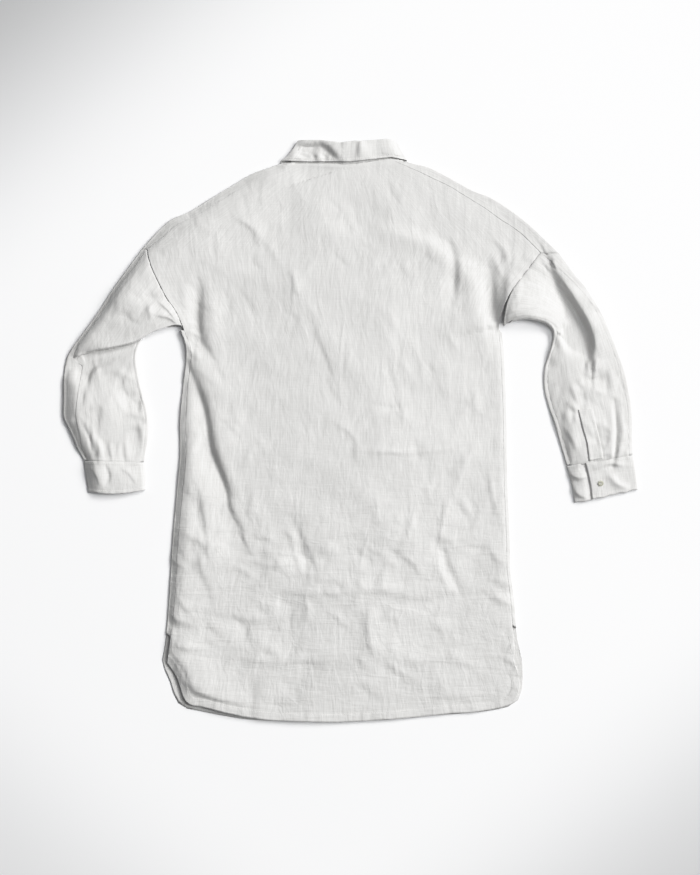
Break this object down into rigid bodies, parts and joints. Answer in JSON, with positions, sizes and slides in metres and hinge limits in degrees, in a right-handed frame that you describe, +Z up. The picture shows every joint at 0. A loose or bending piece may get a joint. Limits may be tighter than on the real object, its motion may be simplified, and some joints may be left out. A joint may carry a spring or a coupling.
{
  "type": "long shirt",
  "caption": "Long linen shirt laid flat with its back up: dropped shoulders, long cuffed sleeves, turned-down collar and a curved shirt-tail hem.",
  "frame": {"origin": "middle of the shirt's outline in plan, on the surface it lies on", "axes": "+Z up out of the surface through the shirt's back, +Y towards the collar, +X towards the sleeve that shows its button"},
  "size_m": [0.9494, 0.9615, 0.0188],
  "materials": {
    "linen": "washed off-white linen, plain weave with slubs",
    "shell_button": "pale shell-like button, soft gloss"
  },
  "bodies": {
    "root": {"back": "linen", "front_left": "linen", "front_right": "linen", "front_placket": "linen", "sleeve_left_over": "linen", "sleeve_left_under": "linen", "sleeve_right_over": "linen", "sleeve_right_under": "linen", "sleeve_placket_left": "linen", "sleeve_placket_right": "linen", "cuff_left": "linen", "cuff_right": "linen", "collar_fall": "linen", "collar_stand": "linen", "cuff_button_left": "shell_button", "cuff_button_right": "shell_button", "front_button_1": "shell_button", "front_button_2": "shell_button", "front_button_3": "shell_button", "front_button_4": "shell_button", "front_button_5": "shell_button", "front_button_6": "shell_button", "front_button_7": "shell_button", "front_button_8": "shell_button"}
  },
  "joints": []
}
